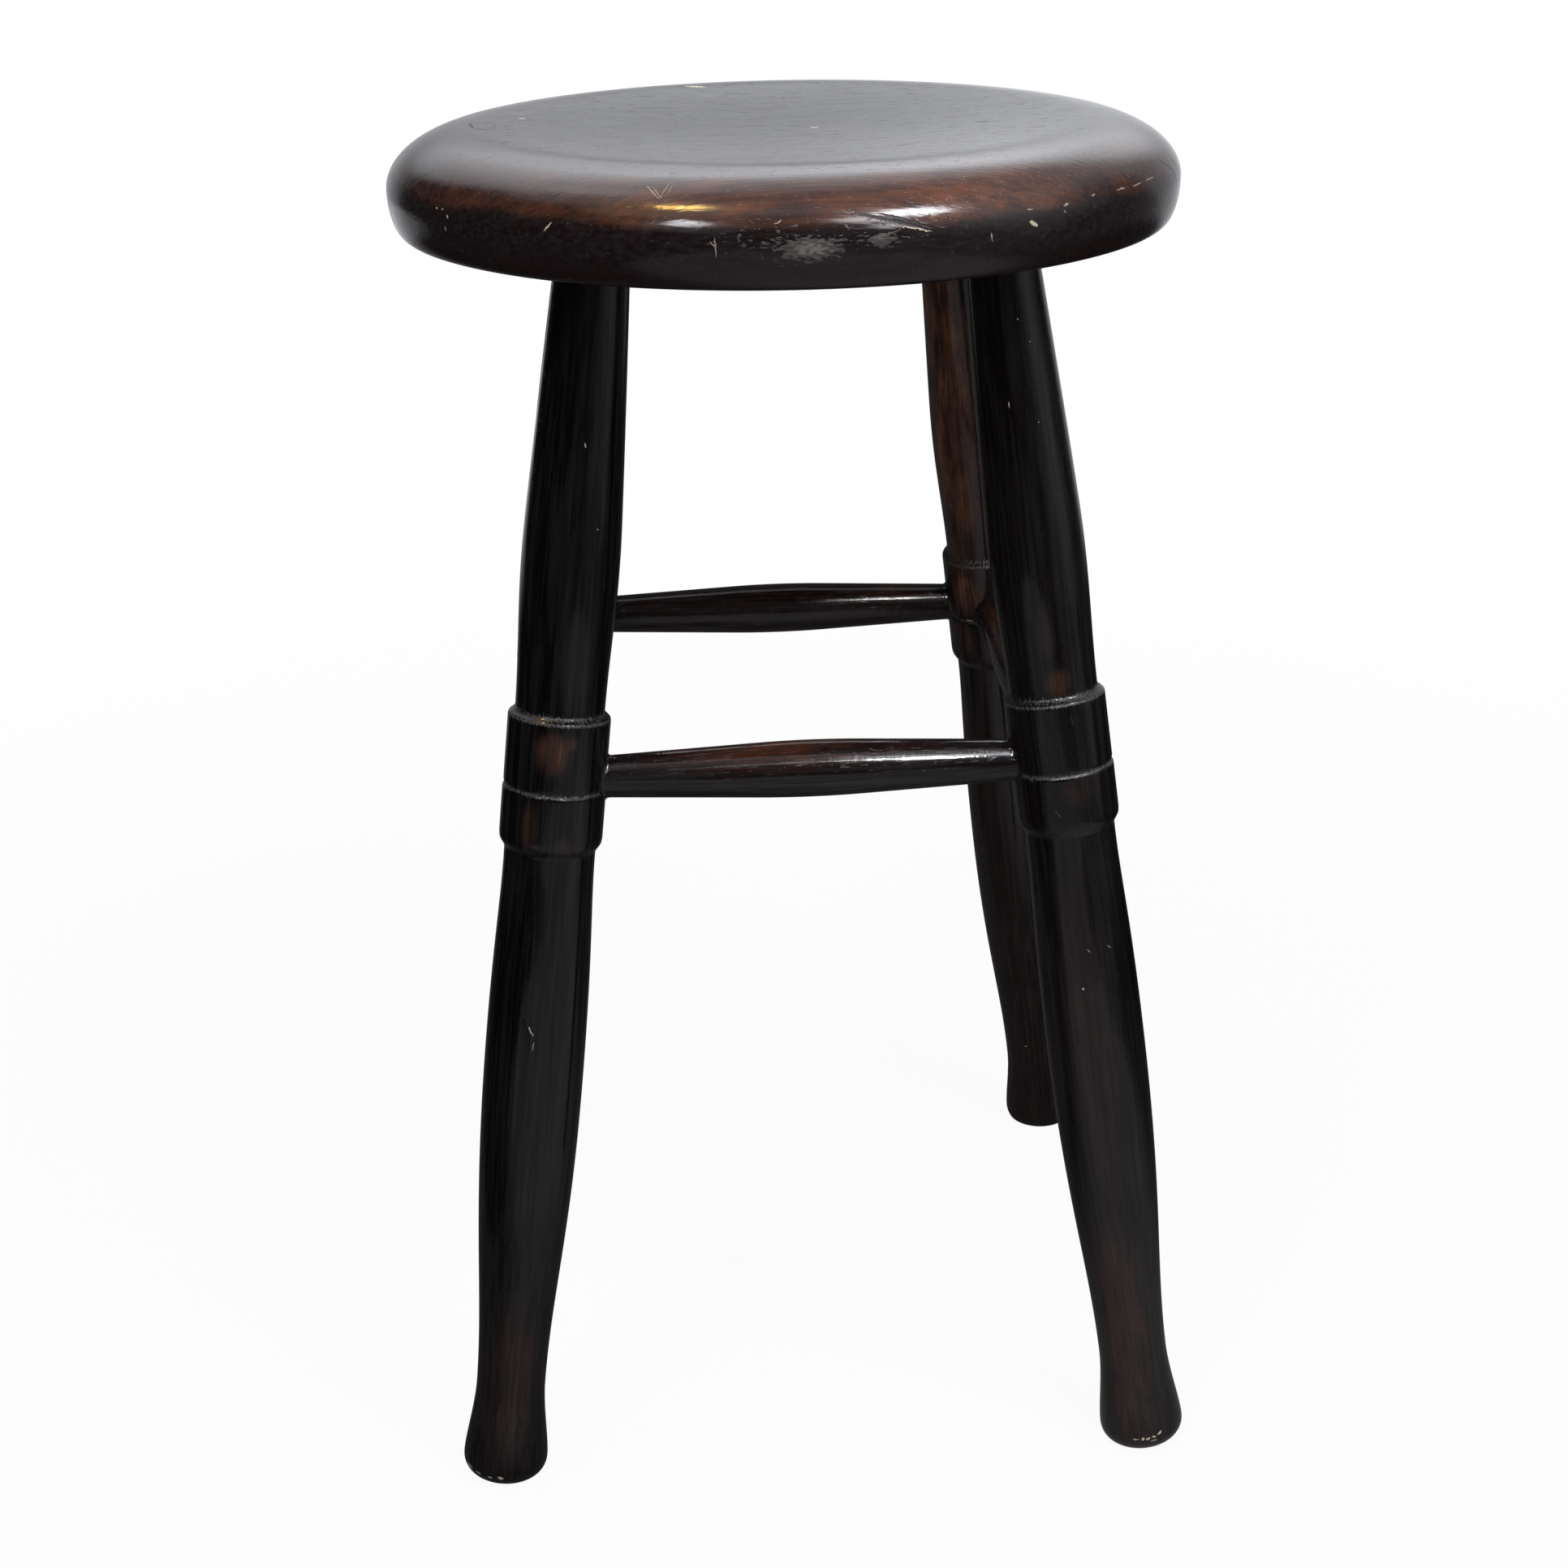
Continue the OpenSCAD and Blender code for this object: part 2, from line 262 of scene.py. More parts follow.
def lacquered_beech(name, browns, shine, relief, coarse, ridges, ticks, dust_colour, bare, cut):
    """Turned beech, stained nearly black and lacquered. The eye sees wet black with a hard reflection,
    broken by the grain that has sunk under the lacquer, and brown wood where the stain has worn thin.
    Shine is its roughness, relief how far the grain stands out, coarse how large the grain is drawn, ridges
    the height of the lathe's marks, and ticks the length and width of specks of dust, in millimetres."""
    material = bpy.data.materials.new(name)
    material.use_nodes = True
    tree = material.node_tree
    shader = tree.nodes["Principled BSDF"]
    own = add(tree, "ShaderNodeAttribute", attribute_name="grain").outputs["Vector"]
    worn = add(tree, "ShaderNodeAttribute", attribute_name="worn").outputs["Fac"]
    dust = add(tree, "ShaderNodeAttribute", attribute_name="dust").outputs["Fac"]
    open_grain = add(tree, "ShaderNodeAttribute", attribute_name="open_grain").outputs["Fac"]

    # Beech has rays a few tenths of a millimetre wide; they are drawn coarser, so that they show
    bands = streaks(tree, own, 60, 2.2)
    fine = streaks(tree, own, 16, 0.8 * coarse)
    ridged = streaks(tree, own, 30, 1.2, 0.2, 0.8, 2.0)
    pores = streaks(tree, own, 6 * coarse, 0.5 * coarse, 0.685, 0.715, 1.0)
    pores = add(tree, "ShaderNodeMath", {0: pores, 1: open_grain}, operation="MULTIPLY").outputs[0]
    film = streaks(tree, own, 70, 1.8, 0.4, 0.65, 7.0)
    film = add(tree, "ShaderNodeMath", {0: film, 1: open_grain}, operation="MULTIPLY").outputs[0]
    blotches = streaks(tree, own, 22, 9)
    swell = streaks(tree, own, 14, 8, 0.2, 0.8, 1.0)
    turned = streaks(tree, own, 1.7, 40, 0.3, 0.7, 1.0)

    # Stain worn thin, more in some bands of the grain than in others
    weights = ((bands, 0.25), (fine, 0.3 / coarse), (blotches, 0.35))
    share = weighted_sum(tree, 0.5 - 0.15 / coarse, weights)
    show = add(tree, "ShaderNodeMath", {0: worn, 1: share}, operation="MULTIPLY").outputs[0]
    ramp = add(tree, "ShaderNodeValToRGB", {0: show})
    for index, (place, colour) in enumerate(browns):
        stop = ramp.color_ramp.elements[index] if index < 2 else ramp.color_ramp.elements.new(place)
        stop.position, stop.color = place, linear(colour)

    # Dry dust, in short ticks across the groove or in rubbed streaks
    grit = streaks(tree, own, *ticks, 0.3, 0.7)
    amount = add(tree, "ShaderNodeMath", {0: dust, 1: grit}, operation="ADD").outputs[0]
    dusty = {"Value": amount, "From Min": 0.85, "From Max": 1.25}
    dusty = add(tree, "ShaderNodeMapRange", dusty, interpolation_type="SMOOTHSTEP").outputs["Result"]
    thick = {"Value": amount, "From Min": 1.35, "From Max": 1.75}
    thick = add(tree, "ShaderNodeMapRange", thick, interpolation_type="SMOOTHSTEP").outputs["Result"]

    # Chips down to bare wood, and cuts that stay dark
    wander = add(tree, "ShaderNodeTexNoise", {"Vector": own, "Scale": 0.9, "Detail": 3.0}).outputs["Color"]
    centred = {0: wander, 1: (0.5, 0.5, 0.5)}
    wander = add(tree, "ShaderNodeVectorMath", centred, operation="SUBTRACT").outputs[0]
    ragged = {0: wander, 1: (1.6, 1.6, 1.6), 2: own}
    ragged = add(tree, "ShaderNodeVectorMath", ragged, operation="MULTIPLY_ADD").outputs[0]
    chipped = flecks(tree, ragged, bare)
    gouged = flecks(tree, ragged, cut)

    # What lies over the stain, from the wood outwards
    coats = (
        (film, "#434447"),
        (pores, "#080606"),
        (dusty, dust_colour),
        (thick, "#68635b"),
        (gouged, "#0b0707"),
        (chipped, "#dfd2bd"),
    )
    colour = ramp.outputs["Color"]
    for cover, coat in coats:
        mixed = {0: cover, 6: colour, 7: linear(coat)}
        colour = add(tree, "ShaderNodeMix", mixed, data_type="RGBA").outputs[2]
    tree.links.new(colour, shader.inputs["Base Color"])

    duller = (
        (blotches, 0.04),
        (fine, 0.03),
        (film, 0.05),
        (pores, 0.6),
        (dusty, 0.5),
        (chipped, 0.5),
        (gouged, 0.4),
        (worn, 0.03),
    )
    tree.links.new(weighted_sum(tree, shine, duller), shader.inputs["Roughness"])

    # Heights in millimetres
    heights = (
        (swell, 0.02),
        (bands, 0.003 * relief),
        (ridged, 0.006 * relief),
        (fine, 0.004 * relief),
        (pores, -0.08),
        (turned, ridges),
        (dusty, 0.04 * relief),
        (chipped, -0.25),
        (gouged, -0.15),
    )
    height = weighted_sum(tree, 0.0, heights)
    bump = add(tree, "ShaderNodeBump", {"Height": height, "Strength": 1.0, "Distance": MM})
    tree.links.new(bump.outputs["Normal"], shader.inputs["Normal"])
    shader.inputs["IOR"].default_value = 1.5
    return material


def on_leg(s, degrees):
    """A place on a leg in its own directions, from the distance up it and the angle round it."""
    a = math.radians(degrees)
    return (s, leg_radius(s) * math.cos(a), leg_radius(s) * math.sin(a))


# Each leg's own marks: worn patches (height, angle, size, stretch, strength), chips down to bare wood
# and dark cuts (height, angle, to height, angle, width, strength), and how brown it is all over.
# Angles are round the leg, 0 away from the middle of the stool.
leg_marks = {
    "leg_front_left": {
        "brown": 0.04,
        "worn": [
            (364.5, 60, 5, 1.0, 0.6),
            (360, 40, 12, 1.2, 0.7),
            (325, 20, 6, 3.0, 0.5),
            (318, 60, 6, 1.0, 0.4),
            (50, 45, 20, 3.5, 0.35),
        ],
        "bare": [
            (233, 36, 229, 41, 0.48, 0.7),
            (226, 43, 222, 42, 0.3, 0.7),
            (495, 53, 494, 53, 0.78, 0.7),
            (459, 75, 459, 75, 0.48, 0.7),
            (5.2, -18, 4.4, -8, 1.3, 0.45),
            (4.0, 2, 3.6, 8, 1.0, 0.35),
            (3.4, 22, 3.2, 27, 1.1, 0.4),
            (4.2, 38, 3.8, 42, 1.6, 0.5),
        ],
        "cut": [(236, 28, 224, 36, 2.6, 1), (46, 29, 40, 27, 0.8, 1), (36, 60, 33, 66, 0.8, 1)],
    },
    "leg_front_right": {
        "brown": 0.08,
        "worn": [
            (382, -45, 9, 1.2, 0.55),
            (405, -55, 6, 3.0, 0.35),
            (334, -37, 11, 1.2, 0.35),
            (200, -50, 14, 11.0, 0.28),
            (50, -60, 22, 6.0, 0.42),
            (210, -70, 10, 14.0, 0.3),
        ],
        "bare": [
            (541, -39, 541, -39, 0.6, 0.7),
            (531, -27, 531, -27, 0.6, 0.7),
            (507, -65, 505, -65, 0.6, 0.7),
            (497, -30, 497, -30, 0.48, 0.7),
            (240, -59, 240, -59, 0.9, 0.7),
            (258.5, -50, 257, -46, 0.3, 0.7),
            (258.5, -24, 257, -21, 0.3, 0.7),
            (6.4, -66, 6.2, -60, 1.0, 0.45),
            (6.2, -54, 6.5, -52, 1.3, 0.65),
            (6.0, -47, 6.3, -45, 1.5, 0.7),
            (6.9, -39, 6.6, -36, 1.2, 0.6),
            (7.6, -30, 8.4, -27, 1.4, 0.75),
            (4.6, -44, 4.4, -34, 0.8, 0.35),
        ],
        "cut": [(327, -67, 322, -60, 0.8, 1), (368, -36, 363, -35, 0.8, 1)],
    },
    "leg_back_right": {
        "brown": 0.25,
        "worn": [(357, -175, 15, 1.3, 0.8), (470, 180, 28, 6.5, 0.75), (330, 175, 16, 1.2, 0.4)],
        "bare": [
            (341.5, -176, 341.5, -168, 0.48, 0.7),
            (120, 150, 119, 151, 0.6, 0.7),
            (60, 200, 60, 203, 0.6, 0.7),
        ],
        "cut": [(500, 160, 492, 162, 0.7, 1)],
    },
    "leg_back_left": {
        "brown": 0.2,
        "worn": [(357, 30, 12, 1.5, 0.5), (250, -140, 12, 6.0, 0.3)],
        "bare": [(300, -60, 298, -57, 0.6, 0.7), (6, 20, 6, 26, 1.3, 0.8), (6, 140, 6, 146, 1.1, 0.8)],
        "cut": [(480, 40, 470, 43, 0.8, 1)],
    },
}
leg_browns = [(0.0, "#030203"), (1.0, "#6a4430"), (0.22, "#150e0d"), (0.55, "#35221b")]

leg_open_grain = 0.1
leg_columns = 112
for quarter, name in enumerate(leg_names):
    foot, out, across, along = leg_frame(quarter)
    angle = np.linspace(0, 2 * math.pi, leg_columns, endpoint=False)[None, :]
    s = leg_stations()[:, None] + 0 * angle
    tilt = np.tan(leg_splay) * np.cos(angle)
    # The sole is cut level, so each column starts where the turned surface meets the floor
    sole = 0 * angle
    for _ in range(20):
        sole = -leg_radius(sole) * tilt
    neck = neck_s + 0 * angle
    for _ in range(20):
        neck = neck_s - leg_radius(neck) * tilt
    s = s + sole * (1 - smooth(0, 30, s)) + (neck - neck_s) * smooth(neck_s - 40, neck_s, s)
    # Wood shrinks more one way than the other, so an old turning is a little oval
    r = leg_radius(s) + 0.12 * np.cos(2 * angle + quarter) + 0.03 * np.sin(3 * angle + 0.05 * s)
    around = np.cos(angle)[..., None] * out + np.sin(angle)[..., None] * across
    rings = foot + s[..., None] * along + r[..., None] * around
    rings[..., 2] = np.clip(rings[..., 2], 0, seat_bottom)
    own = np.stack([s, r * np.cos(angle), r * np.sin(angle)], -1)
    # Dust lies thinly on the shoulder, and thickly in its corner and in the groove
    dust_line = np.maximum(
        0.5 * np.exp(-(((s - collar_top_s - 1.2) / 1.9) ** 2)),
        0.8 * np.exp(-(((s - collar_top_s + 1.3) / 0.9) ** 2)),
    )
    dust_line = np.maximum(dust_line, 0.8 * np.exp(-(((s - groove_s) / 1.2) ** 2)))
    worn = leg_marks[name]["brown"] + 0 * s
    for height, degrees, size, stretch, strength in leg_marks[name]["worn"]:
        away = (own - on_leg(height, degrees)) / [size * stretch, size, size]
        worn = np.maximum(worn, strength * smooth(1.0, 0.3, np.linalg.norm(away, axis=-1)))
    layers = {"grain": own, "dust": dust_line, "worn": worn, "open_grain": leg_open_grain + 0 * s}
    piece = mesh_from_rings(name + "_turned", rings, layers)
    marks = {}
    for kind in ("bare", "cut"):
        marks[kind] = []
        for start_s, start_angle, end_s, end_angle, width, strength in leg_marks[name][kind]:
            start, end = on_leg(start_s, start_angle), on_leg(end_s, end_angle)
            marks[kind].append((start, end, (0, *start[1:]), width, strength))
    finish = lacquered_beech(
        "black_lacquered_beech_" + name,
        leg_browns,
        shine=0.05,
        relief=1.5,
        coarse=1.0,
        ridges=0.002,
        ticks=(2.0, 0.7),
        dust_colour="#2c2c2a",
        **marks,
    )
    piece.data.materials.append(finish)
    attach(piece, "root")
    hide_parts(name)

# The stretchers.
# Four turned beech rods, straight tapers from a fuller middle to plain round ends, each glued into
# the collars of two legs, with a bead of old lacquer filling the corner where it enters.
stretcher_names = ["stretcher_right", "stretcher_back", "stretcher_left", "stretcher_front"]
end_radius, middle_radius, crown = 9.5, 12.85, 48
plain_end = 1.5
bead = 2.0
socket_stop = 11.01
axis_at_stretcher = socket_radius + (seat_bottom - stretcher_z) * math.tan(leg_splay)
span = axis_at_stretcher * math.sqrt(2)
taper_start = span / 2 - low_band_radius - plain_end
taper_slope = (middle_radius - end_radius) / (taper_start - crown / 4)


def stretcher_radius(x):
    """Radius at distance x from the middle: a rounded crown, a straight taper, a plain end."""
    x = np.abs(x)
    crowned = middle_radius - taper_slope * x * x / crown
    tapered = middle_radius - taper_slope * (x - crown / 4)
    return np.maximum(np.where(x < crown / 2, crowned, tapered), end_radius)


def collar_contact(leg_foot, leg_along_axis, middle, axis, side, offset):
    """How far from the middle a line beside the stretcher's axis meets the collar, found by halving."""
    low, high = np.full(offset.shape[:-1], 60.0), np.full(offset.shape[:-1], span / 2)
    for _ in range(40):
        mid = (low + high) / 2
        point = middle + side * mid[..., None] * axis + offset - leg_foot
        s = point @ leg_along_axis
        away = np.linalg.norm(point - s[..., None] * leg_along_axis, axis=-1)
        outside = away > leg_radius(s)
        low, high = np.where(outside, mid, low), np.where(outside, high, mid)
    return low


stretcher_columns = 72
stretcher_open_grain = 0.2
stretcher_browns = [(0.0, "#040303"), (1.0, "#4e2815"), (0.3, "#130b0a"), (0.6, "#24130f")]
for quarter, name in enumerate(stretcher_names):
    a = math.radians(90 * quarter)
    middle = np.array([math.cos(a) * span / 2, math.sin(a) * span / 2, stretcher_z])
    axis = np.array([-math.sin(a), math.cos(a), 0])
    up, side_way = np.array([0, 0, 1.0]), np.array([math.cos(a), math.sin(a), 0])
    angle = np.linspace(0, 2 * math.pi, stretcher_columns, endpoint=False)
    around = np.cos(angle)[:, None] * side_way - np.sin(angle)[:, None] * up
    halves = []
    for side, leg_quarter in ((-1, (quarter - 1) % 4), (1, quarter)):
        leg_foot, _, _, leg_axis = leg_frame(leg_quarter)
        contact = collar_contact(leg_foot, leg_axis, middle, axis, side, end_radius * around)
        wide = collar_contact(leg_foot, leg_axis, middle, axis, side, (end_radius + bead) * around)
        rows = []
        tip = span / 2 - socket_stop - 1
        for x, radius in ((tip, end_radius - 1), (tip - 1, end_radius)):
            rows.append((np.full(stretcher_columns, x), np.full(stretcher_columns, radius)))
        rows.append((wide + 1.2, np.full(stretcher_columns, end_radius)))
        rows.append((wide + 1.0, np.full(stretcher_columns, end_radius + bead * 0.6)))
        for t in np.linspace(0, 1, 9):
            reach = (1 - t) ** 2 * (wide + 0.1) + 2 * t * (1 - t) * contact + t * t * (contact - bead)
            flare = (1 - t) ** 2 * (end_radius + bead) + 2 * t * (1 - t) * end_radius + t * t * end_radius
            rows.append((reach, np.full(stretcher_columns, flare)))
        start = contact - bead - 0.6
        inward = np.linspace(0, 1, 60)
        for t in inward[:-1] if side < 0 else inward:
            x = start * (1 - t)
            rows.append((x, stretcher_radius(x)))
        halves.append([(side * x, r) for x, r in rows])
    rows = halves[0] + halves[1][::-1]
    x = np.array([row[0] for row in rows])
    r = np.array([row[1] for row in rows]) + 0.04 * np.sin(2 * angle + 0.02 * x + quarter)
    rings = middle + x[..., None] * axis + r[..., None] * around[None]
    own = np.stack([x, r * np.cos(angle), r * np.sin(angle)], -1)
    # Feet have rubbed the top of each rod, more towards its middle, and the back one is brown all round
    top = smooth(-0.4, 0.8, -np.sin(angle)[None, :] + 0 * x)
    patchy = ripple(40 + quarter, (x, (0.02, 0.05)), (angle[None, :], (1, 1)))
    least_worn = 0.4 if name == "stretcher_back" else 0.08
    worn = top * (0.7 + 0.25 * patchy) * (1 - smooth(50, 125, np.abs(x)) * 0.6)
    layers = {
        "grain": own,
        "dust": 0 * x,
        "worn": np.clip(worn, least_worn, 1),
        "open_grain": stretcher_open_grain + 0 * x,
    }
    piece = mesh_from_rings(name + "_turned", rings, layers)
    finish = lacquered_beech(
        "streaky_lacquered_beech_" + name,
        stretcher_browns,
        shine=0.07,
        relief=3.0,
        coarse=1.0,
        ridges=0.02,
        ticks=(8, 0.6),
        dust_colour="#353533",
        bare=[],
        cut=[],
    )
    piece.data.materials.append(finish)
    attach(piece, "root")
    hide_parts(name)

# The seat.
# One thick round of beech, its grain running from left to right, faced and dished on a lathe, with a
# full rounded rim worn brown by use above a nearly black underside. The legs' tenons are glued into it.
seat_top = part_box("seat")[1].z / MM
seat_radius = 177.8
rim_width, rim_height, under_round, dish_depth = 42, 25, 6.5, 5
sanding, sanded_inside, unsanded_outside = 7, 142, 157
crest_radius = seat_radius - rim_width
widest_z = seat_top - rim_height


def seat_outline():
    """(radius, height) from the middle of the underside, round the rim, to the middle of the dish."""
    crest_round = rim_width**2 / rim_height
    dish_round = (crest_radius**2 + dish_depth**2) / (2 * dish_depth) - crest_round
    dish_angle = math.asin(crest_radius / (dish_round + crest_round))
    turn = np.linspace(0, math.pi / 2, 21)[:, None]
    low = [seat_radius - under_round, widest_z] + np.hstack([np.sin(turn), -np.cos(turn)]) * [
        under_round,
        widest_z - seat_bottom,
    ]
    turn = np.linspace(0, math.pi / 2, 48)[1:, None]
    rim = [crest_radius, widest_z] + np.hstack([np.cos(turn), np.sin(turn)]) * [rim_width, rim_height]
    turn = np.linspace(0, dish_angle, 4)[1:, None]
    crest = [crest_radius, seat_top - crest_round] + crest_round * np.hstack([-np.sin(turn), np.cos(turn)])
    turn = np.linspace(dish_angle, 0, 62)[1:-1, None]
    dish = [0, seat_top - dish_depth + dish_round] + dish_round * np.hstack([np.sin(turn), -np.cos(turn)])
    flat = np.stack([np.linspace(4, seat_radius - under_round, 27)[:-1], np.full(26, seat_bottom)], -1)
    # Sanding has run the crest softly into the dish
    top = np.vstack([rim[-24:], crest, dish])
    step, count = 0.5, 36
    even = np.arange(0, top[0, 0], step)
    reach = np.arange(-count, count + 1) * step
    kernel = np.exp(-0.5 * (reach / sanding) ** 2)
    heights = np.interp(even, top[::-1, 0], top[::-1, 1])
    softer = np.convolve(np.pad(heights, count, mode="reflect"), kernel / kernel.sum(), mode="valid")
    share = smooth(unsanded_outside, sanded_inside, top[:, 0])
    top[:, 1] += share * (np.interp(top[:, 0], even, softer) - top[:, 1])
    return np.vstack([flat, low, rim[:-24], top])


seat_columns = 560
outline = seat_outline()
angle = np.linspace(0, 2 * math.pi, seat_columns, endpoint=False)[None, :]
r, z = outline[:, 0][:, None] + 0 * angle, outline[:, 1][:, None] + 0 * angle
rings = np.stack([r * np.cos(angle), r * np.sin(angle), z], -1)
uneven = ripple(5, (rings[..., 0], (0.03, 0.09)), (rings[..., 1], (0.03, 0.09)))
# How worn the rim is at angles round it, from the left through the front, 0, to the right
wear_angles = [-180, -120, -75, -60, -43, -20, 0, 26, 36, 43, 52, 75, 120, 180]
wear_levels = [0.5, 0.4, 0.35, 0.55, 0.8, 0.8, 0.95, 1.0, 0.85, 0.7, 0.65, 0.4, 0.4, 0.5]
turn = np.degrees(np.arctan2(rings[..., 0], -rings[..., 1]))
band = smooth(585, 591, z + 2.2 * uneven) * (1 - 0.6 * smooth(602, 606.5, z)) * smooth(128, 145, r)
worn = band * np.interp(turn, wear_angles, wear_levels) * (0.9 + 0.15 * uneven)
scuff = 0 * r
for middle, half, strength in (
    ((-1, -177, 580.5), (20, 20, 7.5), 1.15),
    ((27, -176, 583), (13, 20, 4.5), 0.75),
    ((-15, -177, 583), (36, 20, 10), 0.28),
):
    away = np.linalg.norm((rings - middle) / half, axis=-1)
    scuff = np.maximum(scuff, strength * smooth(1.0, 0.1, away))
open_grain = (0.15 + 0.85 * smooth(150, 132, r)) * smooth(seat_bottom, widest_z, z)
layers = {"grain": rings, "dust": scuff, "worn": np.clip(worn, 0.06, 1), "open_grain": open_grain}
seat = mesh_from_rings("seat_turned", rings, layers)


def seat_facing(place):
    """The way the seat's surface faces at a place on its top or rim."""
    radius = math.hypot(place[0], place[1])
    if radius < crest_radius:
        return (0, 0, 1)
    side = (radius - crest_radius) / rim_width**2
    return (place[0] / radius * side, place[1] / radius * side, (place[2] - widest_z) / rim_height**2)


# Marks of use, by their two ends, width and strength. Chips show bare wood, cuts stay dark.
seat_chips = [
    ((-38.0, 124.3, 606.7), (-31.7, 122.0, 606.5), 4.4, 0.85),
    ((-117.6, 26.4, 606.1), (-116.6, 26.4, 606.1), 2.6, 0.8),
    ((-84.7, -65.6, 605.2), (-84.3, -65.6, 605.2), 1.6, 1),
    ((14.0, 0.4, 602.0), (15.2, 0.4, 602.0), 2.6, 0.8),
    ((-104.1, -143.8, 584.8), (-101.4, -144.7, 587.7), 1.0, 0.6),
    ((88.6, -154.0, 584.2), (91.0, -152.6, 582.6), 1.7, 0.75),
    ((-149.6, -94.4, 586.8), (-149.2, -95.0, 586.6), 0.9, 0.6),
    ((-147.1, -98.5, 586.7), (-146.9, -98.8, 586.7), 0.9, 0.5),
    ((-145.0, -102.4, 584.7), (-144.6, -102.9, 584.0), 0.9, 0.6),
    ((-146.1, -101.2, 579.6), (-146.1, -101.2, 579.0), 0.8, 0.5),
    ((-37.7, -173.3, 585.1), (-37.3, -173.6, 577.7), 0.5, 0.4),
    ((-39.5, -173.0, 583.6), (-37.6, -173.4, 581.6), 0.4, 0.4),
    ((71.3, -162.8, 582.3), (72.0, -162.4, 578.4), 0.5, 0.5),
    ((-63.1, -148.5, 602.0), (-58.6, -157.5, 598.0), 0.5, 0.42),
    ((-60.6, -150.0, 601.5), (-57.6, -157.5, 598.0), 0.45, 0.35),
    ((-53.6, -149.0, 602.7), (-58.2, -157.2, 598.3), 0.5, 0.42),
    ((-52.0, -150.0, 602.4), (-55.4, -156.5, 599.3), 0.45, 0.3),
    ((33.9, -173.4, 587.7), (46.8, -171.1, 584.7), 0.7, 0.9),
    ((28.5, -174.0, 588.7), (36.0, -172.9, 586.9), 0.4, 0.6),
    ((-14.5, -174.7, 589.8), (-12.2, -174.9, 591.4), 0.5, 0.6),
    ((103.5, -142.8, 588.4), (105.8, -141.0, 588.8), 0.6, 0.6),
    ((103.2, -143.2, 586.2), (103.9, -142.8, 585.6), 0.7, 0.5),
    ((117.0, -130.8, 590.0), (118.4, -129.4, 590.3), 0.7, 0.7),
    ((87.2, -153.0, 588.9), (89.5, -151.8, 589.1), 0.5, 0.5),
    ((129.5, -118.8, 590.0), (134.5, -114.1, 590.6), 0.6, 0.5),
    ((138.5, -109.0, 589.8), (144.0, -101.5, 590.4), 0.45, 0.4),
    ((145.5, -99.5, 590.4), (151.5, -90.0, 590.8), 0.45, 0.4),
]
seat_cuts = [
    ((13.7, -172.7, 593.2), (46.8, -171.1, 585.0), 1.7, 1),
    ((26.1, -172.0, 592.4), (45.9, -171.0, 586.3), 1.3, 1),
    ((42.1, -78.3, 604.2), (51.9, -73.6, 604.3), 2.0, 0.9),
    ((85.8, -10.7, 604.1), (90.8, -13.7, 604.4), 2.0, 0.9),
    ((-140.4, 11.9, 606.8), (-137.5, -8.0, 606.8), 2.0, 1),
    ((-137.5, -8.0, 606.8), (-128.8, -13.5, 606.7), 3.2, 1),
    ((-128.8, -13.5, 606.7), (-128.6, 9.0, 606.7), 1.4, 0.7),
    ((-128.6, 9.0, 606.7), (-138.0, 12.0, 606.8), 3.4, 0.8),
    ((163.1, -54.3, 594.7), (170.9, -49.0, 580.9), 0.9, 0.8),
    ((161.0, -66.0, 592.0), (167.0, -61.0, 580.9), 0.8, 0.8),
    ((155.0, -74.0, 596.0), (163.0, -66.5, 589.0), 0.7, 0.8),
    ((-163.0, -50.0, 595.0), (-171.0, -46.0, 583.0), 0.9, 0.9),
    ((-152.0, -72.0, 598.0), (-163.0, -64.0, 588.0), 0.7, 0.8),
]
seat_browns = [(0.0, "#160f10"), (1.0, "#6c3f28"), (0.25, "#201412"), (0.6, "#46291e")]
finish = lacquered_beech(
    "worn_lacquered_beech_seat",
    seat_browns,
    shine=0.07,
    relief=3.5,
    coarse=1.5,
    ridges=0.0005,
    ticks=(3.0, 1.2),
    dust_colour="#3f3b38",
    bare=[(start, end, seat_facing(start), width, strength) for start, end, width, strength in seat_chips],
    cut=[(start, end, seat_facing(start), width, strength) for start, end, width, strength in seat_cuts],
)
seat.data.materials.append(finish)
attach(seat, "root")
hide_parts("seat")

# The picture: a plain pale floor, soft studio light and the camera of the photograph.
scene = bpy.context.scene
scene.view_settings.view_transform = "Standard"


def stage_plane(name, size, height):
    mesh = bpy.data.meshes.new(name)
    h = size / 2
    corners = [(-h, -h, height), (h, -h, height), (h, h, height), (-h, h, height)]
    mesh.from_pydata(corners, [], [(0, 1, 2, 3)])
    plane = bpy.data.objects.new(name, mesh)
    scene.collection.objects.link(plane)
    return plane


def seen_rays(tree):
    """1 where the camera, a reflection or glass looks, and 0 where light only falls."""
    path = add(tree, "ShaderNodeLightPath").outputs
    seen = {0: path["Is Camera Ray"], 1: path["Is Glossy Ray"]}
    seen = add(tree, "ShaderNodeMath", seen, operation="MAXIMUM").outputs[0]
    seen = {0: seen, 1: path["Is Transmission Ray"]}
    return add(tree, "ShaderNodeMath", seen, operation="MAXIMUM").outputs[0]


